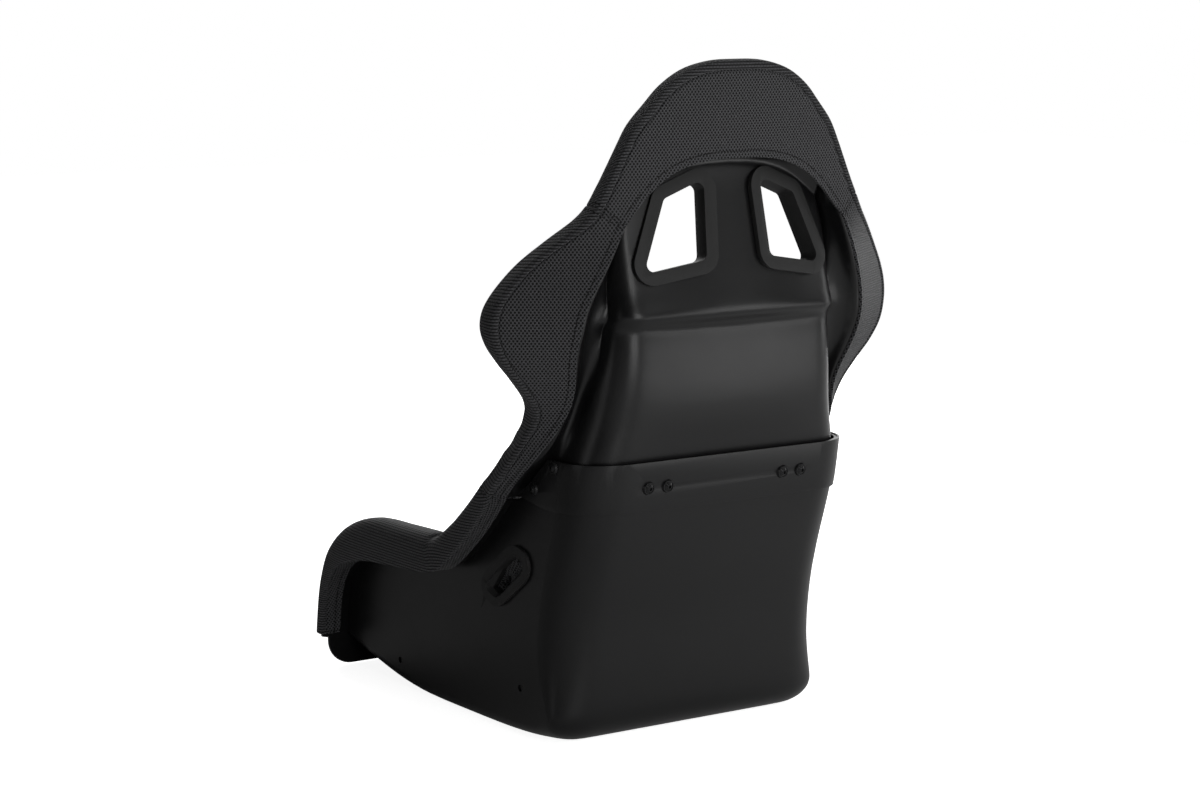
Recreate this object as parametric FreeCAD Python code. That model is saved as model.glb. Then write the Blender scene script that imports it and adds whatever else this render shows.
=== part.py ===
import FreeCAD
import Part
import math
import os

os.makedirs("parts", exist_ok=True)

# Overall sizes of the seat, in millimetres
hip_half_width = 200.0
shell_thickness = 3.5
fit_gap = 0.3
mount_spacing = 290.0
mount_tilt = 4.67
mount_height = 47.0
mount_hole = 8.4
middle_y = 12.6

# Lower tub
rear_corner_radius = 55.0
floor_corner_radius = 36.0
tub_top = 352.0
flange_width = 37.0

# Cutting blocks reach this far past the seat on every side
well_outside = 600.0


def vector(x, y, z):
    return FreeCAD.Vector(x, y, z)


def smooth_curve(points):
    curve = Part.BSplineCurve()
    curve.interpolate(points)
    return curve


def table_value(table, at, column=1):
    """Smooth value of one column of a short table whose first column rises."""
    count = len(table)
    if at <= table[0][0]:
        return table[0][column]
    if at >= table[-1][0]:
        return table[-1][column]
    slot = 0
    while at > table[slot + 1][0]:
        slot += 1

    def slope(index):
        low = max(index - 1, 0)
        high = min(index + 1, count - 1)
        rise = table[high][column] - table[low][column]
        return rise / (table[high][0] - table[low][0])

    span = table[slot + 1][0] - table[slot][0]
    t = (at - table[slot][0]) / span
    a = table[slot][column]
    b = table[slot + 1][column]
    m = slope(slot) * span
    n = slope(slot + 1) * span
    return (
        a * (2 * t ** 3 - 3 * t ** 2 + 1)
        + m * (t ** 3 - 2 * t ** 2 + t)
        + b * (3 * t ** 2 - 2 * t ** 3)
        + n * (t ** 3 - t ** 2)
    )


# Upper back shell: height, then the values at that height; widths are beyond the half width of the hips
back_line = [
    (296, 281), (325, 286), (355, 291.2), (400, 302), (440, 307.5), (480, 308.5), (508, 307.5),
    (514, 309), (522, 319), (528, 322), (545, 320), (590, 313.5), (640, 305), (684, 297.5), (710, 292),
]
back_bow = [(296, 0.0), (355, 0.0), (400, 0.00018), (508, 0.00018), (528, 0.0005), (560, 0.0009), (710, 0.0009)]
panel_beyond_hips = [
    (296, -6.5), (340, -6.5), (355, -9), (400, -21), (440, -28), (480, -33), (528, -37), (560, -39),
    (600, -45), (622, -52), (634, -58),
]
body_radius = [(296, 50), (400, 48), (480, 40), (528, 34), (560, 28), (600, 14), (634, 6)]
hem_line = [
    (296, 15, 136), (319, 15, 163), (340, 14.5, 191), (363, 12, 224), (398, -1, 243), (430, -7, 259),
    (460, -1, 274), (484, 4, 284), (511, 4, 294), (537, 0, 299), (552, -5, 303), (593, -23, 312),
    (634, -42, 313),
]
rim_line = [
    (296, 37, 130), (319, 37, 152), (340, 35, 172), (372, 30, 200), (401, 25, 220), (421, 30, 228),
    (450, 52, 232), (480, 77, 234), (514, 89, 233), (551, 81, 239), (600, 43, 262), (630, 8, 288),
    (654, -11, 297), (704, -37, 303), (751, -63, 306), (765, -77, 308),
]
valley_depth = [(296, 0), (363, 0), (400, 10), (440, 18), (540, 20), (593, 22), (634, 18)]
arch_power = 3.0
head_rear = 315.0
head_bow = 19.0 / 195.0 ** 2
body_levels = [
    (296, 296), (310, 310), (325, 325), (340, 340), (355, 355), (372, 372), (390, 390), (410, 410),
    (430, 430), (450, 450), (470, 470), (490, 490), (503, 503), (511, 511), (517, 517), (523, 523),
    (529, 529), (537, 538), (550, 556), (566, 582), (582, 612), (598, 644), (612, 670), (622, 689),
    (629, 700), (634, 709),
]
head_levels = [(640, 719), (652, 733), (672, 750), (700, 772), (732, 794), (765, 817)]
row_levels = body_levels + head_levels
arch_row = len(body_levels)


def beyond_hips(table, at):
    return hip_half_width + table_value(table, at)


def row_height(row, share):
    side, centre = row_levels[row]
    return side + (centre - side) * (1.0 - min(abs(share), 1.0) ** arch_power)


def body_section(row):
    """Right half of one row of the rear surface, from the middle plane to the rim."""
    side, centre = row_levels[row]
    hem_x = beyond_hips(hem_line, side)
    hem_y = table_value(hem_line, side, 2)
    rim_x = beyond_hips(rim_line, side)
    rim_y = table_value(rim_line, side, 2)
    half = beyond_hips(panel_beyond_hips, side)
    radius = table_value(body_radius, side)
    flat = half - radius
    points = []
    for step in range(5):
        x = flat * step / 4.0
        z = row_height(row, x / hem_x)
        y = table_value(back_line, z) - table_value(back_bow, z) * x * x
        points.append(vector(x, y, z))
    edge_y = points[-1].y
    for step in range(1, 6):
        turn = math.radians(82.0) * step / 5.0
        x = flat + radius * math.sin(turn)
        y = edge_y - radius * (1.0 - math.cos(turn))
        points.append(vector(x, y, row_height(row, x / hem_x)))
    corner = points[-1]
    depth = table_value(valley_depth, side)
    floor_y = hem_y - depth
    wall = vector(corner.x + 2.0, max(floor_y + 9.0, hem_y + 9.0 - depth), corner.z)
    if wall.y > corner.y - 3.0:
        wall = vector(corner.x + 1.0, corner.y - 3.0, corner.z)
    for step in range(1, 4):
        point = corner + (wall - corner) * (step / 3.0)
        points.append(vector(point.x, point.y, row_height(row, point.x / hem_x)))
    start = points[-1]
    low_x = start.x + 0.5 * (hem_x - start.x)
    control = [
        (start.x, start.y), (start.x + 1.0, floor_y - 1.0), (low_x, floor_y - 2.0),
        (hem_x - 5.0, floor_y), (hem_x, hem_y),
    ]
    for step in range(1, 6):
        t = step / 5.0
        weights = [(1 - t) ** 4, 4 * t * (1 - t) ** 3, 6 * t ** 2 * (1 - t) ** 2, 4 * t ** 3 * (1 - t), t ** 4]
        x = sum(w * c[0] for w, c in zip(weights, control))
        y = sum(w * c[1] for w, c in zip(weights, control))
        points.append(vector(x, y, row_height(row, x / hem_x)))
    for step in range(1, 5):
        t = step / 4.0
        points.append(vector(hem_x + (rim_x - hem_x) * t, hem_y + (rim_y - hem_y) * t, side))
    return points


def head_section(row):
    """Right half of one row of the head, from the middle plane to the rim."""
    side, centre = row_levels[row]
    rim_x = beyond_hips(rim_line, side)
    low = body_section(arch_row - 1)
    reach = low[-1].x
    points = []
    for point in low:
        x = rim_x * point.x / reach
        share = x / rim_x
        z = side + (centre - side) * (1.0 - share ** arch_power)
        points.append(vector(x, head_rear - head_bow * x * x, z))
    return points


def rear_grid():
    rows = []
    for row in range(len(row_levels)):
        half = body_section(row) if row < arch_row else head_section(row)
        left = [vector(-p.x, p.y, p.z) for p in reversed(half[1:])]
        rows.append(left + half)
    return rows


def offset_grid(grid, distance):
    """Grid moved along its own normals, towards the front of the seat."""
    moved = []
    last_row = len(grid) - 1
    for i, line in enumerate(grid):
        last = len(line) - 1
        new_line = []
        for j, point in enumerate(line):
            up = grid[min(i + 1, last_row)][j] - grid[max(i - 1, 0)][j]
            across = line[min(j + 1, last)] - line[max(j - 1, 0)]
            normal = up.cross(across)
            normal.normalize()
            new_line.append(point - normal * distance)
        moved.append(new_line)
    return moved


def clamped_knots(count):
    """Even knots of a cubic curve that starts and ends on its first and last point."""
    inner = count - 4
    knots = [float(k) for k in range(inner + 2)]
    repeats = [4] + [1] * inner + [4]
    return knots, repeats


def grid_face(grid):
    knots_up, repeats_up = clamped_knots(len(grid))
    knots_across, repeats_across = clamped_knots(len(grid[0]))
    surface = Part.BSplineSurface()
    surface.buildFromPolesMultsKnots(
        grid, repeats_up, repeats_across, knots_up, knots_across, False, False, 3, 3
    )
    return surface.toShape()


def strip_face(first, second):
    """Flat-ruled face between two rows of control points."""
    knots, repeats = clamped_knots(len(first))
    surface = Part.BSplineSurface()
    surface.buildFromPolesMultsKnots([first, second], [2, 2], repeats, [0.0, 1.0], knots, False, False, 1, 3)
    return surface.toShape()


def grid_solid(front, rear):
    faces = [grid_face(front), grid_face(rear)]
    faces.append(strip_face(front[0], rear[0]))
    faces.append(strip_face(front[-1], rear[-1]))
    for column in (0, -1):
        faces.append(strip_face([row[column] for row in front], [row[column] for row in rear]))
    shell = Part.makeShell(faces)
    shell.sewShape(1e-4)
    solid = Part.makeSolid(shell)
    if solid.Volume < 0:
        solid = Part.makeSolid(shell.reversed())
    return solid


tub_rear_line = [
    (0, 234), (36, 235), (74, 237), (114, 239.5), (158, 245), (209, 258), (254, 273), (296, 286),
    (352, 295.5), (380, 300),
]
rim_path = [
    (-284.3, 46), (-277, 94), (-265, 125), (-243, 150), (-208, 164.5), (-158, 174), (-86, 179.5), (-17, 184.5),
    (17, 194), (64, 228), (97, 257), (130, 290),
]
floor_corner_inner = 30.0
tub_rows = [
    (-287, 38, 98, 14, 14, -300, 330), (-250, 28.5, 98, 14, 14, -262, 332), (-205, 18, 97, 14, 14, -215, 334),
    (-160, 9, 96, 14, 14, -172, 336), (-120, 3.5, 94, 14, 14, -130, 338), (-80, 0.6, 91, 14, 14, -97, 340),
    (-40, 0, 90, 14, 14, -70, 342), (20, 0, 90, 14, 14, -40, 344), (80, 0, 90, 14, 14, -18, 346),
    (130, 0, 90, 18, 14, -4, 348), (165, 0, 90, 30, 15, 8, 350), (186, 0, 90, 42, 20, 20, 352),
]
front_corner_gusset = 10.0


def tub_stations():
    stations = list(tub_rows)
    for step in range(5):
        turn = math.radians(-90 + 22.5 * step)
        radius = floor_corner_radius
        y = 235.0 - radius + radius * math.cos(turn)
        z = radius + radius * math.sin(turn)
        wide = 48.0 + (rear_corner_radius - 48.0) * step / 4.0
        deep = 24.0 + 6.0 * step / 4.0
        stations.append((y, z, math.degrees(turn) + 180.0, wide, deep, 28 + 6 * step, 354 + step))
    for index in range(14):
        z = 55.0 + 25.0 * index
        y = table_value(tub_rear_line, z)
        rise = table_value(tub_rear_line, z + 2) - table_value(tub_rear_line, z - 2)
        slope = math.degrees(math.atan(rise / 4.0))
        deep = min(rear_corner_radius, floor_corner_inner + 0.45 * (z - 36))
        stations.append((y, z, 180.0 - slope, rear_corner_radius, deep, 60 + 12.5 * index, 360 + 4 * index))
    return stations


def tub_grid():
    rows = []
    for y, z, angle, wide, deep, far_y, far_z in tub_stations():
        turn = math.radians(angle)
        inward = vector(0, math.cos(turn), math.sin(turn))
        spine = vector(0, y, z)
        flat = hip_half_width - wide
        half = []
        for step in range(5):
            half.append(spine + vector(flat * step / 4.0, 0, 0))
        for step in range(1, 7):
            part = math.radians(15.0 * step)
            x = flat + wide * math.sin(part)
            half.append(spine + inward * (deep * (1.0 - math.cos(part))) + vector(x, 0, 0))
        knee = spine + inward * (deep + 2.0) + vector(hip_half_width, 0, 0)
        far = vector(hip_half_width, far_y, far_z)
        for step in range(5):
            half.append(knee + (far - knee) * (step / 4.0))
        left = [vector(-p.x, p.y, p.z) for p in reversed(half[1:])]
        rows.append(left + half)
    return rows


def side_prism(points, low, high):
    """Solid cut through from x = low to x = high, from its outline seen from the side."""
    outline = [vector(low, y, z) for y, z in points]
    outline.append(outline[0])
    return Part.Face(Part.makePolygon(outline)).extrude(vector(high - low, 0, 0))


def path_points(path, count, lift=0.0):
    """Points evenly along a smooth side-view path, moved square to it by lift."""
    curve = smooth_curve([vector(0, y, z) for y, z in path])
    first = curve.FirstParameter
    last = curve.LastParameter
    points = []
    for step in range(count):
        at = first + (last - first) * step / (count - 1.0)
        place = curve.value(at)
        along = curve.tangent(at)[0]
        points.append((place.y - along.z * lift, place.z + along.y * lift))
    return points


lap_front = [(148, 296), (214, 352)]
lip_thickness = 4.0
lip_setback = 0.6
lip_foot = 2.0
lip_top = 52.0
lip_corner_radius = 34.0
lip_beyond_hips = 27.0
lip_half_width = hip_half_width + lip_beyond_hips
lip_step_low = 41.0
lip_step_high = 43.0

# Joint band
band_bottom = 291.5
band_top = 353.0
band_thickness = 3.0
band_gap = 0.5
screw_shank = 6.0
screw_hole = 6.6
screw_head = 11.0
screw_head_height = 3.2
screw_socket = 4.0
screw_length = 19.0
wall_play = 0.8
rear_wall_play = 2.2
washer_outer = 17.0
washer_height = 2.4
nut_across = 10.0
nut_height = 5.0
rear_screw_spots = [-114.1, -86.3, 86.3, 114.1]
rear_screw_height = 321.7
side_screw_spots = [(182.0, 313.0), (225.0, 345.0)]

# Shoulder openings: corners on the plate, as (across, up) from the opening's middle
shoulder_middle_x = 79.0
shoulder_middle_z = 628.0
shoulder_opening = [(17, 35), (-37.5, 57), (-34, -38.5), (50.5, -52.5)]
shoulder_corner = 9.0
bezel_flange = 16.0
bezel_proud = 4.5
tunnel_wall = 2.5
tunnel_depth = 26.0

# Lap-belt slots in the sides
lap_middle = (114.5, 194.0)
lap_angle = 41.0
lap_length = 78.0
lap_width = 24.0
lap_corner = 11.0
lap_flange = 13.0
lap_proud = 4.0
lap_depth = 20.0

fabric = 3.0
insert_flange = 16.0
insert_barrel = 11.0
insert_length = 12.0
mount_thread = 6.8


def section_half(spine, inward, flat, wide, deep, far, grow):
    half = []
    for step in range(5):
        half.append(spine - inward * grow + vector(flat * step / 4.0, 0, 0))
    for step in range(1, 7):
        part = math.radians(15.0 * step)
        x = flat + (wide + grow) * math.sin(part)
        half.append(spine + inward * (deep - (deep + grow) * math.cos(part)) + vector(x, 0, 0))
    knee = spine + inward * (deep + 2.0) + vector(hip_half_width + grow, 0, 0)
    end = vector(hip_half_width + grow, far[0], far[1])
    for step in range(5):
        half.append(knee + (end - knee) * (step / 4.0))
    return half


def mirrored_row(half):
    return [vector(-p.x, p.y, p.z) for p in reversed(half[1:])] + half


def half_space_box(low, high):
    return Part.makeBox(high[0] - low[0], high[1] - low[1], high[2] - low[2], vector(*low))


def lap_front_at(z):
    (y0, z0), (y1, z1) = lap_front
    return y0 + (y1 - y0) * (z - z0) / (z1 - z0)


def band_skin(grow):
    rows = []
    for z in (270, 283, 296, 310, 325, 340, 355, 368, 380):
        y = table_value(tub_rear_line, z)
        rise = table_value(tub_rear_line, z + 2) - table_value(tub_rear_line, z - 2)
        slope = math.atan(rise / 4.0)
        inward = vector(0, -math.cos(slope), math.sin(slope))
        drift = math.sin(slope) * 110.0
        far = (lap_front_at(z) - 6.0, z + drift)
        half = section_half(
            vector(0, y, z), inward, hip_half_width - rear_corner_radius, rear_corner_radius,
            rear_corner_radius, far, grow,
        )
        rows.append(mirrored_row(half))
    return rows


def band_front_cut():
    (y0, z0), (y1, z1) = lap_front
    return [(y0 - 30, z0 - 40), (y0 - 2, z0 - 20), (y0 - 2, z0), (y1 - 2, z1), (y1 + 10, z1 + 30), (y1 - 150, z1 + 30),
            (y0 - 200, z0 - 40)]


def make_joint_band():
    inner = band_skin(band_gap)
    outer = band_skin(fit_gap + band_thickness)
    band = grid_solid(inner, outer)
    band = band.common(half_space_box((-well_outside, 0, band_bottom), (well_outside, well_outside, band_top)))
    band = band.cut(side_prism(band_front_cut(), -well_outside, well_outside))
    return band.cut(screw_holes())


def rear_normal(z):
    rise = table_value(tub_rear_line, z + 2) - table_value(tub_rear_line, z - 2)
    slope = math.atan(rise / 4.0)
    return vector(0, math.cos(slope), -math.sin(slope))


def screw_places():
    """Seat face and outward direction of every band screw."""
    places = []
    outward = rear_normal(rear_screw_height)
    y = table_value(tub_rear_line, rear_screw_height)
    for x in rear_screw_spots:
        places.append((vector(x, y, rear_screw_height) + outward * (fit_gap + band_thickness), outward, 0.0))
    for side in (-1, 1):
        for y, z in side_screw_spots:
            seat = vector(side * (hip_half_width + fit_gap + band_thickness), y, z)
            slack = wall_play - shell_thickness - table_value(panel_beyond_hips, z)
            places.append((seat, vector(side, 0, 0), slack))
    return places


def joined(shapes):
    return Part.makeCompound(shapes)


def screw_holes():
    cutters = []
    for seat, outward, slack in screw_places():
        cutters.append(Part.makeCylinder(screw_hole / 2, 40.0, seat + outward * 10.0, outward * -1.0))
    return joined(cutters)


def hexagon(across, centre, axis):
    radius = across / math.sqrt(3.0)
    side = axis.cross(vector(0, 0, 1))
    side.normalize()
    up = side.cross(axis)
    corners = []
    for step in range(7):
        turn = math.radians(60.0 * step)
        corners.append(centre + side * (radius * math.cos(turn)) + up * (radius * math.sin(turn)))
    return Part.Face(Part.makePolygon(corners))


def dome_profile(seat, outward):
    """Button head: a low cap on a short cylinder."""
    base = Part.makeCylinder(screw_head / 2, 1.0, seat, outward)
    cap = Part.makeCone(screw_head / 2, screw_head / 2 - 2.6, screw_head_height - 1.0, seat + outward, outward)
    return base.fuse(cap)


def make_band_screws():
    screws = []
    for seat, outward, slack in screw_places():
        under = seat + outward * (washer_height - 1.2)
        head = dome_profile(under, outward)
        shank = Part.makeCylinder(screw_shank / 2, screw_length + slack, under, outward * -1.0)
        screw = head.fuse(shank)
        top = under + outward * screw_head_height
        socket = hexagon(screw_socket, top, outward).extrude(outward * -2.0)
        screws.append(screw.cut(socket).removeSplitter())
    return joined(screws)


def make_band_washers():
    washers = []
    for seat, outward, slack in screw_places():
        ring = Part.makeCone(washer_outer / 2, washer_outer / 2 - 1.2, washer_height, seat, outward)
        cup = Part.makeCylinder(screw_head / 2 + 0.6, 5.0, seat + outward * (washer_height - 1.2), outward)
        bore = Part.makeCylinder(screw_shank / 2 + 0.2, 5.0, seat - outward, outward)
        washers.append(ring.cut(cup).cut(bore))
    return joined(washers)


def make_band_nuts():
    nuts = []
    for seat, outward, slack in screw_places():
        extra = slack if slack > 0.0 else rear_wall_play
        face = seat - outward * (band_thickness + fit_gap + 2 * shell_thickness + extra + 0.1)
        body = hexagon(nut_across, face, outward).extrude(outward * -nut_height)
        collar = Part.makeCylinder(nut_across * 0.62, 1.2, face, outward * -1.0)
        bore = Part.makeCylinder(screw_shank / 2 + 0.05, nut_height * 3, face + outward, outward * -1.0)
        nuts.append(body.fuse(collar).cut(bore))
    return joined(nuts)


def rounded_outline(corners, radius, centre, across, up, grow=0.0):
    """Face inside a polygon whose sides are moved out by grow and whose corners are rounded."""
    count = len(corners)
    area = sum(
        corners[i][0] * corners[(i + 1) % count][1] - corners[(i + 1) % count][0] * corners[i][1] for i in range(count)
    )
    turn = 1.0 if area > 0 else -1.0
    lines = []
    for i in range(count):
        ax, ay = corners[i]
        bx, by = corners[(i + 1) % count]
        length = math.hypot(bx - ax, by - ay)
        dx = (bx - ax) / length
        dy = (by - ay) / length
        lines.append((ax + dy * grow * turn, ay - dx * grow * turn, dx, dy))
    points = []
    for i in range(count):
        px, py, dx, dy = lines[i - 1]
        qx, qy, ex, ey = lines[i]
        cross = dx * ey - dy * ex
        t = ((qx - px) * ey - (qy - py) * ex) / cross
        points.append((px + dx * t, py + dy * t))

    def place(x, y):
        return centre + across * x + up * y

    edges = []
    starts = []
    ends = []
    middles = []
    reach = radius + grow
    for i in range(count):
        x, y = points[i]
        dx, dy = lines[i - 1][2:]
        ex, ey = lines[i][2:]
        bend = math.acos(max(-1.0, min(1.0, dx * ex + dy * ey)))
        back = reach * math.tan(bend / 2.0)
        bx = ex - dx
        by = ey - dy
        size = math.hypot(bx, by)
        depth = reach / math.cos(bend / 2.0) - reach
        starts.append(place(x - dx * back, y - dy * back))
        ends.append(place(x + ex * back, y + ey * back))
        middles.append(place(x + bx / size * depth, y + by / size * depth))
    for i in range(count):
        edges.append(Part.Arc(starts[i], middles[i], ends[i]).toShape())
        edges.append(Part.makeLine(ends[i], starts[(i + 1) % count]))
    return Part.Face(Part.Wire(edges))


def shoulder_frame(side):
    """Middle of a shoulder opening on the plate, with its across, up and outward directions."""
    x = shoulder_middle_x
    z = shoulder_middle_z
    bow = table_value(back_bow, z)
    y = table_value(back_line, z) - bow * x * x
    slope = (table_value(back_line, z + 4) - table_value(back_line, z - 4)) / 8.0
    across = vector(side, -2 * bow * x, 0)
    across.normalize()
    outward = vector(side * 2 * bow * x, 1.0, -slope)
    outward.normalize()
    up = outward.cross(across) * float(-side)
    return vector(side * x, y, z), across, up, outward


def shoulder_prism(side, grow, start, depth):
    centre, across, up, outward = shoulder_frame(side)
    face = rounded_outline(shoulder_opening, shoulder_corner, centre + outward * start, across, up, grow)
    return face.extrude(outward * -depth)


rim_room = 1.4


def upper_clearance(gap):
    """The upper shell with room on both faces, past its side edges and over its top edge."""
    rear = rear_grid()
    for line in rear:
        for edge, inside in ((0, 1), (-1, -2)):
            outward = line[edge] - line[inside]
            outward.normalize()
            line[edge] = line[edge] + outward * (rim_room * gap)
    for column, point in enumerate(rear[-1]):
        rear[-1][column] = point + vector(0, 0, rim_room * gap)
    return grid_solid(offset_grid(rear, shell_thickness + gap), offset_grid(rear, -gap))


def make_shoulder_bezel(side, clearance):
    flange = shoulder_prism(side, bezel_flange, bezel_proud, bezel_proud + 2.0)
    tunnel = shoulder_prism(side, tunnel_wall, bezel_proud, tunnel_depth)
    opening = shoulder_prism(side, 0.0, 20.0, 80.0)
    room = clearance.cut(shoulder_prism(side, tunnel_wall + fit_gap, 20.0, 80.0))
    flange = flange.cut(room)
    bezel = flange.fuse(tunnel).cut(opening)
    solids = sorted(bezel.Solids, key=lambda solid: solid.Volume)
    return solids[-1]


def lap_prism(side, grow, start, depth):
    turn = math.radians(lap_angle)
    along = vector(0, math.cos(turn), math.sin(turn))
    square = vector(0, -math.sin(turn), math.cos(turn))
    long_half = lap_length / 2.0
    wide_half = lap_width / 2.0
    corners = [(-long_half, -wide_half), (long_half, -wide_half), (long_half, wide_half), (-long_half, wide_half)]
    outward = vector(side, 0, 0)
    centre = vector(side * hip_half_width, lap_middle[0], lap_middle[1]) + outward * start
    face = rounded_outline(corners, lap_corner, centre, along, square, grow)
    return face.extrude(outward * -depth)


def make_lap_bezel(side):
    flange = lap_prism(side, lap_flange, lap_proud, lap_proud - 0.05)
    tunnel = lap_prism(side, tunnel_wall, lap_proud, lap_depth)
    return flange.fuse(tunnel).cut(lap_prism(side, 0.0, 10.0, 60.0))


def mount_places():
    turn = math.radians(mount_tilt)
    places = []
    for side in (-1, 1):
        for end in (-1, 1):
            y = end * mount_spacing / 2.0 * math.cos(turn)
            z = mount_height + end * mount_spacing / 2.0 * math.sin(turn)
            places.append((vector(side * hip_half_width, y, z), vector(side, 0, 0)))
    return places


def make_mount_inserts():
    inserts = []
    for place, outward in mount_places():
        inner = place - outward * (shell_thickness + 0.1)
        flange = Part.makeCylinder(insert_flange / 2, 2.0, inner, outward * -1.0)
        barrel = Part.makeCylinder(insert_barrel / 2, insert_length - 2.0, inner, outward * -1.0)
        bore = Part.makeCylinder(mount_thread / 2, 40.0, inner + outward, outward * -1.0)
        inserts.append(flange.fuse(barrel).cut(bore))
    return joined(inserts)


def flange_ribbon(side):
    inner = side * (hip_half_width - shell_thickness / 2.0)
    outer = side * (hip_half_width + flange_width)
    low = min(inner, outer)
    high = max(inner, outer)
    under = smooth_curve([vector(low, y, z) for y, z in path_points(rim_path, 24)])
    over = smooth_curve([vector(low, y, z) for y, z in path_points(rim_path, 24, shell_thickness)])
    edges = [
        under.toShape(),
        Part.makeLine(under.value(under.LastParameter), over.value(over.LastParameter)),
        over.toShape(),
        Part.makeLine(over.value(over.FirstParameter), under.value(under.FirstParameter)),
    ]
    wire = Part.Wire(Part.__sortEdges__(edges))
    return Part.Face(wire).extrude(vector(high - low, 0, 0))


def make_front_lip():
    """Turned-down edge across the front of the tub, joined to both side flanges."""
    y = tub_rows[0][0] - lip_thickness + lip_setback
    inner_half = hip_half_width - shell_thickness / 2.0
    floor_top = tub_rows[0][1] + shell_thickness / 2.0
    round_start = lip_foot + lip_corner_radius
    slant = lip_corner_radius * math.sqrt(0.5)
    edges = []
    for side in (1, -1):
        wide = side * lip_half_width
        corner = side * (lip_half_width - lip_corner_radius)
        middle = vector(corner + side * slant, y, round_start - slant)
        edges.append(Part.Arc(vector(corner, y, lip_foot), middle, vector(wide, y, round_start)).toShape())
        flange = side * (hip_half_width + flange_width)
        edges.append(Part.makePolygon([
            vector(wide, y, round_start), vector(wide, y, lip_step_low), vector(flange, y, lip_step_high),
            vector(flange, y, lip_top), vector(side * inner_half, y, lip_top),
            vector(side * inner_half, y, floor_top + front_corner_gusset),
            vector(side * (inner_half - front_corner_gusset), y, floor_top), vector(0, y, floor_top),
        ]))
    edges.append(Part.makeLine(
        vector(lip_corner_radius - lip_half_width, y, lip_foot), vector(lip_half_width - lip_corner_radius, y, lip_foot)
    ))
    loose = []
    for edge in edges:
        loose.extend(edge.Edges)
    wire = Part.Wire(Part.__sortEdges__(loose))
    return Part.Face(wire).extrude(vector(0, lip_thickness, 0))


def above_rim():
    """Everything above the tub's top edge, from one side to the other."""
    low = -well_outside
    rim = smooth_curve([vector(low, y, z) for y, z in path_points(rim_path, 24, shell_thickness / 2.0)])
    corners = lap_front + [
        (well_outside, tub_top), (well_outside, well_outside), (-well_outside, well_outside), (-well_outside, 50),
    ]
    points = [rim.value(rim.LastParameter)]
    points += [vector(low, y, z) for y, z in corners]
    points.append(rim.value(rim.FirstParameter))
    wire = Part.Wire([rim.toShape()] + Part.makePolygon(points).Edges)
    return Part.Face(wire).extrude(vector(-2.0 * low, 0, 0))


def make_lower_shell():
    grid = tub_grid()
    tub = grid_solid(offset_grid(grid, shell_thickness), grid)
    tub = tub.cut(above_rim())
    shell = tub.fuse([flange_ribbon(-1), flange_ribbon(1), make_front_lip()])
    cutters = [screw_holes()]
    for side in (-1, 1):
        cutters.append(lap_prism(side, tunnel_wall + fit_gap, 10.0, 60.0))
    for place, outward in mount_places():
        cutters.append(Part.makeCylinder(mount_hole / 2, 20.0, place + outward * 5.0, outward * -1.0))
    return shell.cut(joined(cutters))


def make_upper_shell():
    rear = rear_grid()
    shell = grid_solid(offset_grid(rear, shell_thickness), rear)
    cutters = [screw_holes()]
    for side in (-1, 1):
        cutters.append(shoulder_prism(side, tunnel_wall + fit_gap, 20.0, 80.0))
    return shell.cut(joined(cutters))


# Rim covers: padding in front of the flange, against place number or height
cover_reach = 6.0
cover_corner = 5.0
pad_lower = [
    (0, 8), (1, 9), (2, 14), (3, 26), (4, 36), (5, 45), (6, 45), (7, 42), (8, 34), (9, 28), (10, 25), (11, 25),
]
pad_upper = [
    (296, 25), (319, 22), (340, 17), (372, 15), (401, 13), (421, 13), (450, 18), (514, 22), (600, 22), (634, 19),
]
pad_start = [(296, -10), (340, -4), (372, 4), (421, 9), (634, 12)]
lower_pad_start = -16.5
head_pad = 19.0
head_pad_start = 18.0
cover_foot = 47.5
cover_hem_beyond_hips = 14.0
cover_square_blend = 90.0
wing_square_below = 421.0
cover_hem_inset = 3.0
wing_levels = [
    (302, 302), (319, 319), (340, 340), (360, 360), (380, 380), (400, 400), (421, 421), (445, 445), (467, 467),
    (490, 490), (514, 514), (538, 538), (560, 562), (580, 588), (602, 614), (620, 636), (632, 652),
]
head_hems = [1.0, 0.95, 0.867, 0.772, 0.665, 0.55, 0.43, 0.316, 0.165, 0.0]
head_rims = [656, 676, 698, 722, 745]
crown_rims = [0.984, 0.813, 0.585, 0.3, 0.0]
cover_gap = 0.8


def cover_path():
    """Points along the lower rim, the first one raised to the foot of the cover."""
    points = path_points(rim_path, 23)
    y0, z0 = points[0]
    y1, z1 = points[1]
    share = (cover_foot - z0) / (z1 - z0)
    points[0] = (y0 + (y1 - y0) * share, cover_foot)
    return points


def lower_places():
    """Hem point, rim point, padding and where the padding starts, along the lower rim."""
    places = []
    for index, (y, z) in enumerate(cover_path()):
        pad = table_value(pad_lower, index / 2.0)
        hem = vector(hip_half_width + cover_hem_beyond_hips, y, z)
        rim = vector(hip_half_width + flange_width, y, z)
        places.append((hem, rim, pad, lower_pad_start))
    return places


def upper_places():
    places = []
    for low, high in wing_levels:
        hem = vector(beyond_hips(hem_line, low) + cover_hem_inset, table_value(hem_line, low, 2), low)
        rim = vector(beyond_hips(rim_line, high), table_value(rim_line, high, 2), high)
        places.append((hem, rim, table_value(pad_upper, low), table_value(pad_start, low)))
    return places


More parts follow.
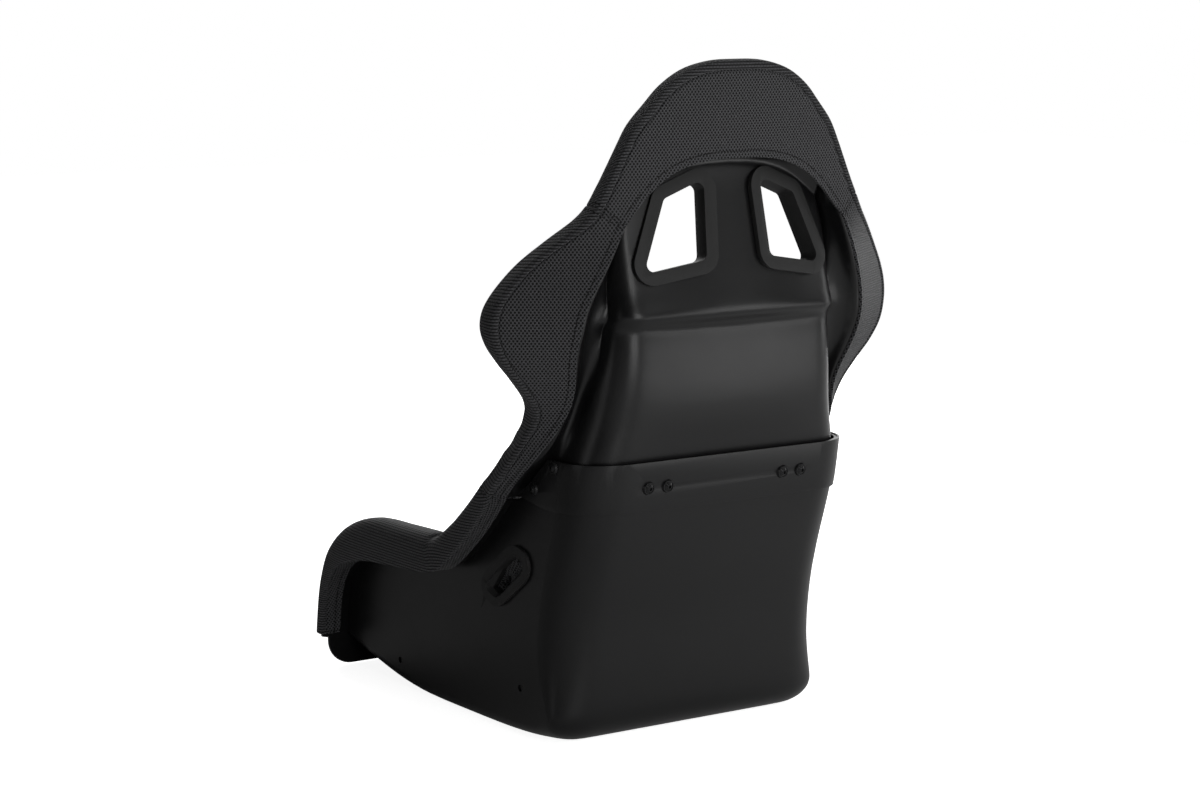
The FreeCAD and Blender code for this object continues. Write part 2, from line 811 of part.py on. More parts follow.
def head_places():
    crown = len(row_levels) - 1
    hem_reach = beyond_hips(hem_line, row_levels[arch_row - 1][0])
    rim_reach = beyond_hips(rim_line, row_levels[crown][0])
    rims = [(beyond_hips(rim_line, z), z) for z in head_rims]
    rims += [(share * rim_reach, row_height(crown, share)) for share in crown_rims]
    left = []
    for share, (rim_x, rim_z) in zip(head_hems, rims):
        hem_x = share * hem_reach
        hem_z = row_height(arch_row - 1, share)
        hem = vector(hem_x, head_rear - head_bow * hem_x ** 2, hem_z)
        rim = vector(rim_x, head_rear - head_bow * rim_x ** 2, rim_z)
        left.append((hem, rim, head_pad, head_pad_start))
    right = []
    for hem, rim, pad, start in reversed(left[:-1]):
        right.append((vector(-hem.x, hem.y, hem.z), vector(-rim.x, rim.y, rim.z), pad, start))
    return left + right


def cover_section(place, along, wanted):
    """Closed outline round the flange: thin at the back, padded at the front towards wanted."""
    hem, rim, pad, start = place
    out = rim - hem
    out.normalize()
    back = along.cross(out)
    back.normalize()
    facing = max(0.2, -back.dot(wanted))
    tilt = max(0.0, min(0.9, out.dot(wanted) / facing))
    forward = out * tilt - back
    rear = fabric + cover_gap
    front = shell_thickness + cover_gap + pad
    inner = hem + out * start
    rim_out = rim + out * cover_reach
    points = [
        hem + back * rear,
        rim_out + back * (rear - 1.5),
        rim_out + forward * (front - cover_corner),
        rim_out - out * cover_corner + forward * front,
        inner + forward * front,
        inner - back * shell_thickness * 0.5,
        hem - back * shell_thickness * 0.5,
    ]
    points.append(points[0])
    return Part.makePolygon(points)


def cover_loft(places, square_below):
    """Padded cover through all places; from square_below up its padding points straight ahead."""
    wires = []
    count = len(places)
    ahead = vector(0, -1, 0)
    for index, place in enumerate(places):
        before = places[max(index - 1, 0)]
        after = places[min(index + 1, count - 1)]
        along = (after[0] + after[1]) - (before[0] + before[1])
        square = vector(0, -along.z, along.y)
        share = max(0.0, min(1.0, (square_below - place[0].z) / cover_square_blend))
        if square.Length > 1.0:
            square.normalize()
        wanted = square * share + ahead * (1.0 - share)
        wires.append(cover_section(place, along, wanted))
    return Part.makeLoft(wires, True, False)


def mirror_shape(shape):
    return shape.mirror(vector(0, 0, 0), vector(1, 0, 0))


def largest(shape):
    return sorted(shape.Solids, key=lambda solid: solid.Volume)[-1]


def rim_clearance(side):
    """The lower rim's flange with room on every side."""
    inner = side * hip_half_width + side * (lower_pad_start - cover_gap)
    outer = side * (hip_half_width + flange_width + cover_gap)
    low = min(inner, outer)
    under = smooth_curve([vector(low, y, z) for y, z in path_points(rim_path, 24, -cover_gap)])
    over = smooth_curve([vector(low, y, z) for y, z in path_points(rim_path, 24, shell_thickness + cover_gap)])
    edges = [
        under.toShape(),
        Part.makeLine(under.value(under.LastParameter), over.value(over.LastParameter)),
        over.toShape(),
        Part.makeLine(over.value(over.FirstParameter), under.value(under.FirstParameter)),
    ]
    wire = Part.Wire(Part.__sortEdges__(edges))
    return Part.Face(wire).extrude(vector(abs(outer - inner), 0, 0))


def make_thigh_cover():
    front = tub_rows[0][0] + lip_setback
    lip_room = half_space_box(
        (0, front - lip_thickness - cover_gap, 0),
        (hip_half_width + flange_width + cover_gap, front + cover_gap, lip_top + cover_gap),
    )
    return largest(cover_loft(lower_places(), well_outside).cut(rim_clearance(1)).cut(lip_room))


def make_wing_cover(clearance):
    return largest(cover_loft(upper_places(), wing_square_below).cut(clearance))


def make_head_cover(clearance):
    cover = largest(cover_loft(head_places(), 0.0).cut(clearance))
    left = cover.common(half_space_box((0, 0, 0), (well_outside, well_outside, 2.0 * well_outside)))
    return left.fuse(mirror_shape(left))


# Loose padding inside the shell, as side views (depth, height)
side_pad_wall_room = 5.7
side_pad_thickness = 26.8
side_pad_outer = hip_half_width - shell_thickness - side_pad_wall_room
side_pad_inner = side_pad_outer - side_pad_thickness
side_pad_low = 78.0
side_pad_below_roll = 7.0
side_pad_waist = 286.0
side_pad_rear = [(186, 78), (190, 150), (198, 200), (204, 250), (205, 286)]
cushion_gap = 6.0
seat_half_width = side_pad_inner - cushion_gap
seat_under = [
    (200, 46), (184, 16), (150, 7.0), (60, 6.0), (-40, 6.0), (-80, 6.5), (-120, 9.0), (-160, 14.5), (-205, 23.5),
    (-250, 34),
]
seat_over = [(-250, 34), (-264, 58), (-257, 88), (-228, 104), (-160, 104), (-60, 92), (60, 84), (150, 88), (196, 98)]
back_inside_seat = 34.0
back_half_width = seat_half_width - back_inside_seat
back_rear = [
    (112, 226), (150, 232), (209, 240), (254, 252), (296, 262), (352, 272), (400, 282), (480, 293), (552, 292),
]
back_front = [
    (112, 190), (150, 196), (209, 205), (254, 214), (296, 225), (352, 240), (400, 250), (480, 262), (552, 268),
]
head_cushion_low = (-76.0, 258.0, 690.0)
head_cushion_high = (76.0, 285.0, 768.0)
cushion_round = 9.0


def slab(points_over, points_under, low, high):
    """Prism across the seat between two smooth side-view curves that share their ends or are closed by lines."""
    over = smooth_curve([vector(low, y, z) for y, z in points_over])
    under = smooth_curve([vector(low, y, z) for y, z in points_under])
    edges = [over.toShape(), under.toShape()]
    for first, second in ((over.value(over.LastParameter), under.value(under.FirstParameter)),
                          (under.value(under.LastParameter), over.value(over.FirstParameter))):
        if first.distanceToPoint(second) > 1e-6:
            edges.append(Part.makeLine(first, second))
    wire = Part.Wire(Part.__sortEdges__(edges))
    return Part.Face(wire).extrude(vector(high - low, 0, 0))


def side_outline():
    top = []
    for index, (y, z) in enumerate(path_points(rim_path, 23)):
        top.append((y, z, table_value(pad_lower, index / 2.0)))
    curve = smooth_curve([vector(0, y, z) for y, z in rim_path])
    first = curve.FirstParameter
    last = curve.LastParameter
    points = []
    for index, (y, z, pad) in enumerate(top[2:]):
        along = curve.tangent(first + (last - first) * (index + 2) / 22.0)[0]
        lift = shell_thickness + pad - side_pad_below_roll
        points.append((y - along.z * lift, z + along.y * lift))
    return points


def make_side_pad():
    top = side_outline()
    outline = [(-246, side_pad_low)] + top + [(150, 304), (178, 298)] + list(reversed(side_pad_rear))
    pad = side_prism(outline, side_pad_inner, side_pad_outer)
    low_part = side_prism(outline, side_pad_outer, hip_half_width - shell_thickness - fit_gap)
    low_part = low_part.common(half_space_box((0, -well_outside, 0), (well_outside, well_outside, side_pad_waist)))
    under_rim = path_points(rim_path, 24) + [(140, 60), (-well_outside, 60), (-well_outside, 40)]
    low_part = low_part.common(side_prism(under_rim, 0, well_outside))
    pad = pad.fuse(low_part)
    return pad.cut(lap_prism(1, tunnel_wall + 1.0, 10.0, 80.0)).removeSplitter()


def make_seat_cushion():
    return slab(seat_over, seat_under, -seat_half_width, seat_half_width)


def make_back_cushion():
    over = [(y, z) for z, y in back_front]
    under = [(y, z) for z, y in reversed(back_rear)]
    return slab(over, under, -back_half_width, back_half_width)


def make_head_cushion():
    block = half_space_box(head_cushion_low, head_cushion_high)
    return block.makeFillet(cushion_round, block.Edges)


def save(name, shape):
    shape.translate(vector(0, -middle_y, 0))
    shape.exportStep("parts/" + name + ".step")


thigh_cover = make_thigh_cover()
cover_room = upper_clearance(cover_gap)
wing_cover = make_wing_cover(cover_room)
side_pad = make_side_pad()
clearance = upper_clearance(fit_gap)
save("thigh_cover_right", mirror_shape(thigh_cover))
save("thigh_cover_left", thigh_cover)
save("wing_cover_right", mirror_shape(wing_cover))
save("wing_cover_left", wing_cover)
save("side_pad_right", mirror_shape(side_pad))
save("side_pad_left", side_pad)
save("head_cover", make_head_cover(cover_room))
save("seat_cushion", make_seat_cushion())
save("back_cushion", make_back_cushion())
save("head_cushion", make_head_cushion())
save("shoulder_bezel_left", make_shoulder_bezel(1, clearance))
save("shoulder_bezel_right", make_shoulder_bezel(-1, clearance))
save("lap_bezel_left", make_lap_bezel(1))
save("lap_bezel_right", make_lap_bezel(-1))
save("band_screws", make_band_screws())
save("band_washers", make_band_washers())
save("band_nuts", make_band_nuts())
save("mount_inserts", make_mount_inserts())
save("joint_band", make_joint_band())
save("lower_shell", make_lower_shell())
save("upper_shell", make_upper_shell())
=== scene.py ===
import math

import bmesh
import bpy
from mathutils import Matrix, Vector


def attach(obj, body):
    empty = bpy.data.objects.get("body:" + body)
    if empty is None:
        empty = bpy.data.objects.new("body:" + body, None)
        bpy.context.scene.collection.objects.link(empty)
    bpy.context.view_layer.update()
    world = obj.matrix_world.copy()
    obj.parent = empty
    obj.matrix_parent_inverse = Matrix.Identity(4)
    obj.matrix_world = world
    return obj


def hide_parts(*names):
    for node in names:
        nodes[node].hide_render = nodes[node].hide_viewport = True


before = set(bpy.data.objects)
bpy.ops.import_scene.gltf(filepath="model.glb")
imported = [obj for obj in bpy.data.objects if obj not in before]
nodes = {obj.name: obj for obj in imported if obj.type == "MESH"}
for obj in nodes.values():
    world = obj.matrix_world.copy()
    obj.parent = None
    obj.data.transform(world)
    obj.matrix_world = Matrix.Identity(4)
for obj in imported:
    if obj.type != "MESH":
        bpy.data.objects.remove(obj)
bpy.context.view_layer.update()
scene = bpy.context.scene

# Camera: an 85 mm lens on a 36 mm wide sensor, behind the seat and to its left,
# a little above the middle of the back and looking slightly down
camera_data = bpy.data.cameras.new("camera")
camera_data.lens = 85.0
camera_data.sensor_width = 36.0
camera = bpy.data.objects.new("camera", camera_data)
camera.location = (2.0244, 2.9691, 0.9319)
turn = math.radians(34.404)
lift = math.radians(8.708)
away = Vector((-math.sin(turn) * math.cos(lift), -math.cos(turn) * math.cos(lift), -math.sin(lift)))
camera.rotation_euler = away.to_track_quat("-Z", "Y").to_euler()
scene.collection.objects.link(camera)
scene.camera = camera
scene.view_settings.view_transform = "Standard"


# Studio: a white floor that fades into a white room, narrow strips and low boxes behind the
# seat that draw its long soft reflections, and wide boxes in front and above for the edges
def linear(code):
    """Linear colour from a hex code as it looks on a screen."""
    values = [int(code[i:i + 2], 16) / 255.0 for i in (0, 2, 4)]
    return tuple(v / 12.92 if v <= 0.04045 else ((v + 0.055) / 1.055) ** 2.4 for v in values) + (1.0,)


def add(tree, kind, inputs=None, **settings):
    """New node; settings are its properties or values, inputs are values or outputs of other nodes."""
    node = tree.nodes.new("ShaderNode" + kind)
    for key, value in settings.items():
        if hasattr(node, key):
            setattr(node, key, value)
        else:
            node.inputs[key.replace("_", " ")].default_value = value
    for key, source in (inputs or {}).items():
        if isinstance(source, bpy.types.NodeSocket):
            tree.links.new(source, node.inputs[key])
        else:
            node.inputs[key].default_value = source
    return node


def new_material(name, colour=None, **values):
    """Material with its shader's own sockets set to uniform values."""
    material = bpy.data.materials.new(name)
    material.use_nodes = True
    tree = material.node_tree
    shader = tree.nodes["Principled BSDF"]
    if colour:
        shader.inputs["Base Color"].default_value = linear(colour)
    for key, value in values.items():
        shader.inputs[key.replace("_", " ")].default_value = value
    return material, tree, shader


def new_object(form, name):
    """Object in the scene with the mesh of a bmesh."""
    mesh = bpy.data.meshes.new(name)
    form.to_mesh(mesh)
    form.free()
    item = bpy.data.objects.new(name, mesh)
    scene.collection.objects.link(item)
    return item


def dress(item, material):
    """Give an object one material in place of those it has."""
    item.data.materials.clear()
    item.data.materials.append(material)


floor_half_width = 9.0
form = bmesh.new()
bmesh.ops.create_grid(form, x_segments=1, y_segments=1, size=floor_half_width)
floor = new_object(form, "floor")

# Matt white floor paint: no highlight of its own and white to the lens; the shell's reflections see it
# as a painted grey shade, with a painted glow on the side behind the seat that draws the shell's highlights
glow_side = (-0.35, 0.94, 0.0)
floor_paint, tree, shader = new_material("floor_paint", Roughness=0.9, Specular_IOR_Level=0.1)
place = add(tree, "TexCoord")
spread = add(tree, "VectorMath", {0: place.outputs["Object"]}, operation="LENGTH")
fade = add(tree, "MapRange", {"Value": spread.outputs["Value"]}, interpolation_type="SMOOTHSTEP",
           From_Min=0.5, From_Max=1.5, To_Min=0.9, To_Max=1.0)
behind = add(tree, "VectorMath", {0: place.outputs["Object"], 1: glow_side}, operation="DOT_PRODUCT")
# painted glow: the floor behind the seat shines, but only in the shell's reflections
painted_glow = add(tree, "MapRange", {"Value": behind.outputs["Value"]}, interpolation_type="SMOOTHSTEP",
            From_Min=-0.3, From_Max=0.6, To_Min=0.0, To_Max=0.33)
path = add(tree, "LightPath")
seen = add(tree, "Math", {0: path.outputs["Is Camera Ray"], 1: path.outputs["Is Transmission Ray"]},
           operation="MAXIMUM")
plain = add(tree, "Math", {0: seen.outputs[0], 1: fade.outputs["Result"]}, operation="MULTIPLY")
# painted shade: reflections see the floor grey instead of white
dim = add(tree, "Mix", {0: path.outputs["Is Glossy Ray"], 6: linear("f4f4f4"), 7: linear("a8a8a8")},
          data_type="RGBA")
tree.links.new(dim.outputs[2], shader.inputs["Base Color"])
level = add(tree, "Math", {0: path.outputs["Is Glossy Ray"], 1: painted_glow.outputs["Result"],
                           2: plain.outputs[0]}, operation="MULTIPLY_ADD")
glow = add(tree, "Emission", {"Strength": level.outputs[0]}, Color=(1.0, 1.0, 1.0, 1.0))
both = add(tree, "AddShader", {0: glow.outputs[0], 1: shader.outputs[0]})
tree.links.new(both.outputs[0], tree.nodes["Material Output"].inputs["Surface"])
dress(floor, floor_paint)

world = bpy.data.worlds.new("studio")
scene.world = world
world.use_nodes = True
tree = world.node_tree
room = tree.nodes["Background"]
room.inputs["Color"].default_value = (1.0, 1.0, 1.0, 1.0)
room.inputs["Strength"].default_value = 0.02
white = add(tree, "Background", Color=(1.0, 1.0, 1.0, 1.0), Strength=1.0)
path = add(tree, "LightPath")
pick = add(tree, "MixShader", {0: path.outputs["Is Camera Ray"], 1: room.outputs[0], 2: white.outputs[0]})
tree.links.new(pick.outputs[0], tree.nodes["World Output"].inputs["Surface"])

for name, spot, target, width, height, power in (
    ("low_box", (-1.75, 2.6, 0.3), (0.0, 0.1, 0.3), 1.3, 0.5, 6.5),
    ("floor_panel", (-1.1, 1.75, 0.02), (-1.1, 1.75, 1.0), 1.2, 1.0, 8.0),
    ("high_box", (-1.6, 2.4, 1.9), (0.0, 0.1, 0.45), 1.3, 0.9, 8.0),
    ("side_box", (-2.9, 0.9, 0.9), (0.0, 0.1, 0.45), 1.0, 1.6, 10.0),
    ("near_strip", (0.75, 3.1, 0.9), (0.0, 0.1, 0.45), 0.3, 1.7, 14.5),
    ("far_strip", (0.1, 3.2, 0.9), (0.0, 0.1, 0.45), 0.3, 1.7, 12.0),
    ("left_box", (3.1, 0.2, 0.7), (0.0, 0.0, 0.35), 1.0, 1.4, 4.0),
    ("front_box", (-1.7, -2.5, 1.0), (0.0, 0.0, 0.45), 3.6, 2.4, 45.0),
    ("front_side_box", (-2.7, -1.2, 0.9), (0.0, 0.0, 0.45), 1.0, 1.6, 35.0),
    ("top_box", (0.0, 0.0, 3.0), (0.0, 0.0, 0.45), 1.8, 1.8, 5.0),
    ("top_rear_box", (0.0, 1.9, 2.6), (0.0, 0.1, 0.45), 1.6, 0.9, 3.0),
    ("top_front_box", (-0.4, -1.9, 2.5), (0.0, 0.0, 0.45), 1.8, 1.0, 16.0),
):
    data = bpy.data.lights.new(name, "AREA")
    data.shape = "RECTANGLE"
    data.size = width
    data.size_y = height
    data.energy = power
    light = bpy.data.objects.new(name, data)
    light.location = spot
    light.rotation_euler = (Vector(target) - Vector(spot)).to_track_quat("-Z", "Y").to_euler()
    scene.collection.objects.link(light)

# Tub and back shell: black glass-filled laminate out of polished moulds, left unpainted;
# it shows a satin skin with a very fine peel and long soft waves; the shells lap at the band
shell_skin, tree, shader = new_material("shell_skin", "0f0f10", Specular_IOR_Level=0.38)
place = add(tree, "TexCoord")
broad = add(tree, "TexNoise", {"Vector": place.outputs["Object"]}, Scale=14.0, Detail=2.0)
fine = add(tree, "TexNoise", {"Vector": place.outputs["Object"]}, Scale=700.0, Detail=2.0)
rough = add(tree, "MapRange", {"Value": broad.outputs[0]}, To_Min=0.29, To_Max=0.37)
tree.links.new(rough.outputs[0], shader.inputs["Roughness"])
bump = add(tree, "Bump", {"Height": fine.outputs[0]}, Strength=0.05, Distance=0.0002)
tree.links.new(bump.outputs[0], shader.inputs["Normal"])
for name in ("lower_shell", "upper_shell"):
    dress(nodes[name], shell_skin)


# Joint band: a strip of the same laminate in its own mould, laid over the joint of tub and
# back shell; its edges are eased by hand, which gives each a thin line of light
def round_edges(form, width, least):
    """Round each edge that bends by more than an angle, and shade all faces smooth."""
    sharp = [edge for edge in form.edges
             if len(edge.link_faces) == 2 and edge.calc_face_angle() > math.radians(least)]
    bmesh.ops.bevel(form, geom=sharp, offset=width, offset_type="OFFSET", segments=3, profile=0.5,
                    affect="EDGES", material=-1, clamp_overlap=True)
    for face in form.faces:
        face.smooth = True


def join_seat(piece, material, node):
    """Dress a piece, let it ride on the seat and stand for a node of the frame."""
    dress(piece, material)
    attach(piece, "root")
    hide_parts(node)


same_place = 0.00002
flat_within = math.radians(1.0)
smooth_within = math.radians(32.0)


def ease_edges(node, name, width, material):
    """A copy of a moulded node with its sharp edges rounded."""
    form = bmesh.new()
    form.from_mesh(nodes[node].data)
    bmesh.ops.remove_doubles(form, verts=form.verts, dist=same_place)
    bmesh.ops.dissolve_limit(form, angle_limit=flat_within, verts=form.verts, edges=form.edges)
    round_edges(form, width, 40.0)
    piece = new_object(form, name)
    piece.data.set_sharp_from_angle(angle=smooth_within)
    join_seat(piece, material, node)


ease_edges("joint_band", "joint_band_moulding", 0.0014, shell_skin)

# Bezels of the belt openings: black injection-moulded nylon with a spark-eroded grain,
# duller than the shell; they clip through the openings and their edges are rounded
bezel_grain, tree, shader = new_material("bezel_grain", "292929", Specular_IOR_Level=0.22)
place = add(tree, "TexCoord")
grain = add(tree, "TexNoise", {"Vector": place.outputs["Object"]}, Scale=1100.0, Detail=2.0)
rough = add(tree, "MapRange", {"Value": grain.outputs[0]}, To_Min=0.4, To_Max=0.6)
tree.links.new(rough.outputs[0], shader.inputs["Roughness"])
bump = add(tree, "Bump", {"Height": grain.outputs[0]}, Strength=0.25, Distance=0.0002)
tree.links.new(bump.outputs[0], shader.inputs["Normal"])
for side in ("left", "right"):
    ease_edges("shoulder_bezel_" + side, "shoulder_bezel_moulding_" + side, 0.0012, bezel_grain)

# Lap belt bezels: the same nylon, a slanted oval flange on the tub's side with a
# chamfered mouth and a short tunnel that lines the slot; it clips in from outside
slot_turn = math.radians(41.0)
slot_y = 0.1019
slot_z = 0.194
tub_side = 0.2
flange_proud = 0.0042
flange_width = 0.0115
mouth_chamfer = 0.0026
mouth_sunk = 0.0004
tunnel_depth = 0.0155
tunnel_half_height = 0.0125
tunnel_share = 0.9
corner_round = 0.0085
flange_corners = [(46.5, 16.9), (61.2, -5.2), (54.8, -24.1), (38.7, -30.7), (-28.9, -25.1),
                  (-44.4, -18.7), (-57.3, 6.5), (-50.5, 22.3), (-35.8, 26.9), (27.9, 23.2)]


def from_slot(y, z):
    """Distances along and across the slot of a place on the tub's side."""
    y, z = y - slot_y, z - slot_z
    return (y * math.cos(slot_turn) + z * math.sin(slot_turn),
            -y * math.sin(slot_turn) + z * math.cos(slot_turn))


def at_slot(along, across):
    """Place on the tub's side at distances along and across the slot."""
    return (slot_y + along * math.cos(slot_turn) - across * math.sin(slot_turn),
            slot_z + along * math.sin(slot_turn) + across * math.cos(slot_turn))


def only(kind, items):
    """The items of a bmesh operator's result that are of one kind."""
    return [item for item in items if isinstance(item, kind)]


for side, word in ((1.0, "left"), (-1.0, "right")):
    form = bmesh.new()
    corners = [form.verts.new((side * (tub_side + flange_proud), *at_slot(0.001 * along, 0.001 * across)))
               for along, across in flange_corners]
    form.faces.new(corners)
    bmesh.ops.bevel(form, geom=corners, offset=corner_round, offset_type="OFFSET", segments=4,
                    profile=0.5, affect="VERTICES", material=-1, clamp_overlap=True)
    middle = max(form.faces, key=lambda face: face.calc_area())
    for width in (flange_width, mouth_chamfer):
        bmesh.ops.inset_region(form, faces=[middle], thickness=width, use_even_offset=True, use_boundary=True)
    for vert in middle.verts:
        along, across = from_slot(vert.co.y, vert.co.z)
        across = max(-tunnel_half_height, min(tunnel_half_height, across))
        vert.co = (side * (tub_side - mouth_sunk), *at_slot(along * tunnel_share, across))
    tunnel = bmesh.ops.extrude_face_region(form, geom=[middle])["geom"]
    bmesh.ops.translate(form, verts=only(bmesh.types.BMVert, tunnel), vec=(side * -tunnel_depth, 0.0, 0.0))
    # the tunnel stays open at both ends, which are the only faces with so many corners
    ends = [face for face in form.faces if len(face.verts) > 20]
    bmesh.ops.delete(form, geom=ends, context="FACES_ONLY")
    brim = [edge for edge in form.edges if edge.is_boundary and abs(edge.verts[0].co.x) > tub_side]
    skirt = bmesh.ops.extrude_edge_only(form, edges=brim)["geom"]
    bmesh.ops.translate(form, verts=only(bmesh.types.BMVert, skirt), vec=(side * -flange_proud, 0.0, 0.0))
    bmesh.ops.recalc_face_normals(form, faces=form.faces)
    form.normal_update()
    top = max(form.faces, key=lambda face: face.normal.x * face.calc_center_median().x)
    if top.normal.x * side < 0:
        bmesh.ops.reverse_faces(form, faces=form.faces)
    round_edges(form, 0.0011, 35.0)
    bezel = new_object(form, "lap_bezel_moulding_" + word)
    bezel.data.set_sharp_from_angle(angle=smooth_within)
    join_seat(bezel, bezel_grain, "lap_bezel_" + word)

# Band screws and cup washers: steel, zinc-nickel plated and blackened, so the
# edges of heads and cups catch a narrow light; nuts and side inserts: bright zinc
for name, colour, metallic, grain_scale, smoothest, roughest, dressed in (
    ("black_steel", "262627", 0.6, 500.0, 0.2, 0.38, ("band_screws", "band_washers")),
    ("zinc_plate", "a6a6a8", 1.0, 300.0, 0.3, 0.5, ("band_nuts", "mount_inserts")),
):
    plating, tree, shader = new_material(name, colour, Metallic=metallic)
    place = add(tree, "TexCoord")
    wear = add(tree, "TexNoise", {"Vector": place.outputs["Object"]}, Scale=grain_scale, Detail=2.0)
    rough = add(tree, "MapRange", {"Value": wear.outputs[0]}, To_Min=smoothest, To_Max=roughest)
    tree.links.new(rough.outputs[0], shader.inputs["Roughness"])
    for node in dressed:
        dress(nodes[node], plating)

# Rim covers: one strip of warp-knitted spacer mesh over foam, sewn as five sleeves (thigh,
# wing, head, wing, thigh) and pulled over the shell's edge: a flat sheet with a stitched hem
# at the back, a crease, and a padded roll round the edge

# Spacer mesh: matt polyester yarn round staggered holes that show black; stretched over a roll
# the rows close to ribs. Distances are in millimetres; the pattern is coarser along a row than
# in the photo, where the holes are about 3.5 apart on the wing and 3 apart on the head
hole_pitch = 4.6
row_pitch = 3.0
rib_pitch = 3.7
stitch_pitch = 5.0
stitch_share = 0.66
spacer_mesh, tree, shader = new_material("spacer_mesh", Roughness=0.7, Specular_IOR_Level=0.2,
                                         Sheen_Weight=0.1, Sheen_Roughness=0.4)
values = {}
for layer, first, second in (("cloth", "along_row", "across_rows"), ("seam", "from_hem", "along_hem"),
                             ("edge", "from_seam", "on_roll")):
    split = add(tree, "SeparateXYZ", {0: add(tree, "UVMap", uv_map=layer).outputs[0]})
    values[first], values[second] = split.outputs[0], split.outputs[1]
for name, operation, *terms in (
    # distance to the nearest hole, in even rows and in the odd rows between them
    ("even_x", "WRAP", "along_row", hole_pitch / 2, -hole_pitch / 2),
    ("even_y", "WRAP", "across_rows", row_pitch, -row_pitch),
    ("odd_along", "ADD", "along_row", hole_pitch / 2),
    ("odd_across", "ADD", "across_rows", row_pitch),
    ("odd_x", "WRAP", "odd_along", hole_pitch / 2, -hole_pitch / 2),
    ("odd_y", "WRAP", "odd_across", row_pitch, -row_pitch),
    ("even_y_squared", "MULTIPLY", "even_y", "even_y"),
    ("odd_y_squared", "MULTIPLY", "odd_y", "odd_y"),
    ("even_squared", "MULTIPLY_ADD", "even_x", "even_x", "even_y_squared"),
    ("odd_squared", "MULTIPLY_ADD", "odd_x", "odd_x", "odd_y_squared"),
    ("least_squared", "MINIMUM", "even_squared", "odd_squared"),
    ("nearest", "SQRT", "least_squared"),
    ("thread", "SMOOTHSTEP", "nearest", 0.9, 1.6),
    # ribs on the roll, where the holes show less
    ("from_groove", "WRAP", "across_rows", rib_pitch / 2, -rib_pitch / 2),
    ("groove_gap", "ABSOLUTE", "from_groove"),
    ("rib", "SMOOTHSTEP", "groove_gap", 0.2, 1.2),
    ("closed", "MULTIPLY_ADD", "thread", 0.35, 0.65),
    ("ribbed", "MULTIPLY", "rib", "closed"),
    ("off_roll", "SUBTRACT", 1.0, "on_roll"),
    ("sheet", "MULTIPLY", "thread", "off_roll"),
    ("knit", "MULTIPLY_ADD", "ribbed", "on_roll", "sheet"),
    # a row of stitches beside the hem and one beside each seam, pulled into the cloth
    ("hem_line", "COMPARE", "from_hem", 6.5, 1.0),
    ("hem_beat", "FLOORED_MODULO", "along_hem", stitch_pitch),
    ("hem_dash", "LESS_THAN", "hem_beat", stitch_share * stitch_pitch),
    ("hem_stitch", "MULTIPLY", "hem_line", "hem_dash"),
    ("seam_line", "COMPARE", "from_seam", 4.0, 0.7),
    ("seam_beat", "FLOORED_MODULO", "from_hem", stitch_pitch),
    ("seam_dash", "LESS_THAN", "seam_beat", stitch_share * stitch_pitch),
    ("seam_stitch", "MULTIPLY", "seam_line", "seam_dash"),
    ("stitch", "MAXIMUM", "hem_stitch", "seam_stitch"),
    ("pulled", "MULTIPLY_ADD", "stitch", -0.9, "knit"),
    ("shown", "MAXIMUM", "pulled", 0.0),
):
    inputs = dict(enumerate(values.get(term, term) for term in terms))
    if operation == "SMOOTHSTEP":
        step = add(tree, "MapRange", inputs, interpolation_type=operation)
    else:
        step = add(tree, "Math", inputs, operation=operation)
    values[name] = step.outputs[0]
tone = add(tree, "Mix", {0: values["shown"], 6: linear("050505"), 7: linear("4b4b4d")}, data_type="RGBA")
tree.links.new(tone.outputs[2], shader.inputs["Base Color"])
bump = add(tree, "Bump", {"Height": values["shown"]}, Strength=0.9, Distance=0.0009)
tree.links.new(bump.outputs[0], shader.inputs["Normal"])

